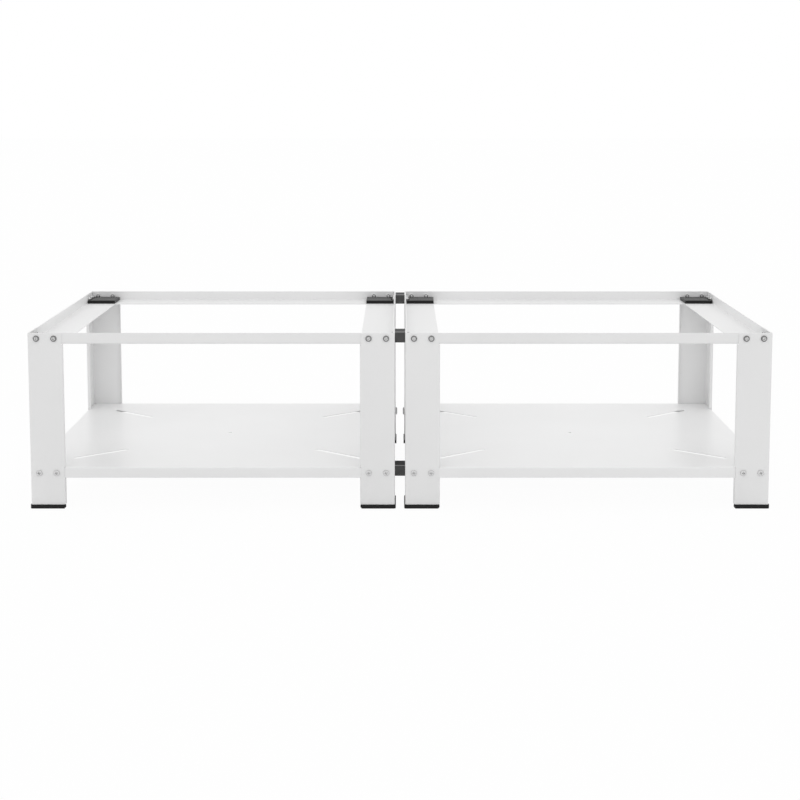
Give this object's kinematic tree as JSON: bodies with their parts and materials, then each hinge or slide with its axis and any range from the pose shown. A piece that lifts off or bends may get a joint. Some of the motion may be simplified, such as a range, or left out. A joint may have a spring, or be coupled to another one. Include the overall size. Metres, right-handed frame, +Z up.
{
  "type": "washing machine stand",
  "caption": "Wide low stand of folded white steel that carries a pair of laundry machines side by side on rubber pads, with a storage shelf under each.",
  "frame": {"origin": "on the floor, under the middle of the stand", "axes": "+X across the stand to the right as seen from the front, +Y from the front to the back, +Z up"},
  "size_m": [1.2864, 0.5464, 0.308],
  "materials": {
    "powder_coat": "white powder coat, satin",
    "rubber_pad": "moulded black rubber, matt",
    "foot_plastic": "moulded black plastic, matt",
    "link_plastic": "moulded black plastic, satin",
    "zinc_screw": "bright zinc plate on steel",
    "zinc_nut": "bright zinc plate on steel"
  },
  "bodies": {
    "root": {"left_foot_back_left": "foot_plastic", "left_foot_back_right": "foot_plastic", "left_foot_front_left": "foot_plastic", "left_foot_front_right": "foot_plastic", "left_leg_back_left": "powder_coat", "left_leg_back_right": "powder_coat", "left_leg_front_left": "powder_coat", "left_leg_front_right": "powder_coat", "left_pad_back_left": "rubber_pad", "left_pad_back_right": "rubber_pad", "left_pad_front_left": "rubber_pad", "left_pad_front_right": "rubber_pad", "left_rail_back": "powder_coat", "left_rail_front": "powder_coat", "left_rail_left": "powder_coat", "left_rail_right": "powder_coat", "left_shelf": "powder_coat", "left_shelf_bolts": "zinc_screw", "left_shelf_nuts": "zinc_nut", "left_top_bolts": "zinc_screw", "left_top_nuts": "zinc_nut", "link_bolts": "zinc_screw", "link_bottom_front": "link_plastic", "link_nuts": "zinc_nut", "link_top_back": "link_plastic", "link_top_front": "link_plastic", "right_foot_back_left": "foot_plastic", "right_foot_back_right": "foot_plastic", "right_foot_front_left": "foot_plastic", "right_foot_front_right": "foot_plastic", "right_leg_back_left": "powder_coat", "right_leg_back_right": "powder_coat", "right_leg_front_left": "powder_coat", "right_leg_front_right": "powder_coat", "right_pad_back_left": "rubber_pad", "right_pad_back_right": "rubber_pad", "right_pad_front_left": "rubber_pad", "right_pad_front_right": "rubber_pad", "right_rail_back": "powder_coat", "right_rail_front": "powder_coat", "right_rail_left": "powder_coat", "right_rail_right": "powder_coat", "right_shelf": "powder_coat", "right_shelf_bolts": "zinc_screw", "right_shelf_nuts": "zinc_nut", "right_top_bolts": "zinc_screw", "right_top_nuts": "zinc_nut"}
  },
  "joints": []
}
